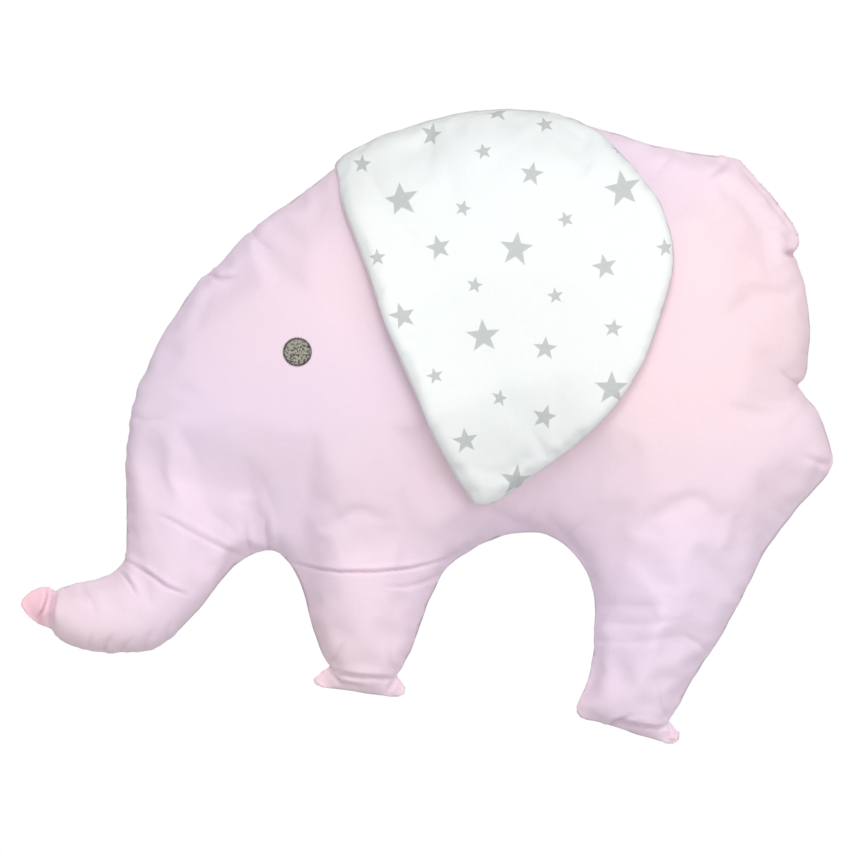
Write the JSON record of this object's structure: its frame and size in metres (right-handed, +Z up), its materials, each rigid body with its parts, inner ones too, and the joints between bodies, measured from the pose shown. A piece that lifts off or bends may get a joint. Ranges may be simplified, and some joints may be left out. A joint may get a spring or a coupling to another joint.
{
  "type": "elephant pillow",
  "caption": "Flat stuffed elephant baby pillow with two cotton panels, fibre filling and padded ears that lift from the back seam.",
  "frame": {"origin": "on the table, under the middle of the pillow's outline", "axes": "+X from trunk to rump, +Y from feet to back, +Z up out of the elephant's left face as it lies"},
  "size_m": [0.5, 0.387, 0.1107],
  "materials": {
    "pink_cotton": "soft pale pink cotton",
    "star_cotton": "white cotton with a printed grey star pattern",
    "ear_lining_cotton": "plain white cotton",
    "wadding": "flat white polyester wadding",
    "fibre_filling": "loose white polyester fibre",
    "pink_thread": "pale pink sewing thread",
    "eye_thread": "grey-green satin embroidery thread",
    "eye_rim_thread": "dark brown embroidery thread"
  },
  "bodies": {
    "pillow": {"front_panel": "pink_cotton", "back_panel": "pink_cotton", "outline_seam": "pink_cotton", "closing_stitches": "pink_thread", "torso_filling": "fibre_filling", "trunk_filling": "fibre_filling", "front_leg_filling": "fibre_filling", "rear_leg_filling": "fibre_filling", "left_ear_root": "star_cotton", "right_ear_root": "star_cotton", "left_eye_fill": "eye_thread", "left_eye_rim": "eye_rim_thread", "right_eye_fill": "eye_thread", "right_eye_rim": "eye_rim_thread"},
    "left_ear": {"left_ear_face": "star_cotton", "left_ear_wadding": "wadding", "left_ear_lining": "ear_lining_cotton", "left_ear_edge_seam": "star_cotton"},
    "right_ear": {"right_ear_face": "star_cotton", "right_ear_wadding": "wadding", "right_ear_lining": "ear_lining_cotton", "right_ear_edge_seam": "star_cotton"}
  },
  "joints": [
    {"name": "left_ear_lift", "type": "hinge", "parent": "pillow", "child": "left_ear", "pos_m": [-0.02774, 0.17536, 0.04], "axis": [-0.937, -0.3493, 0], "range_deg": [0, 90]},
    {"name": "right_ear_lift", "type": "hinge", "parent": "pillow", "child": "right_ear", "pos_m": [-0.02774, 0.17536, 0.04], "axis": [0.937, 0.3493, 0], "range_deg": [0, 90]}
  ]
}
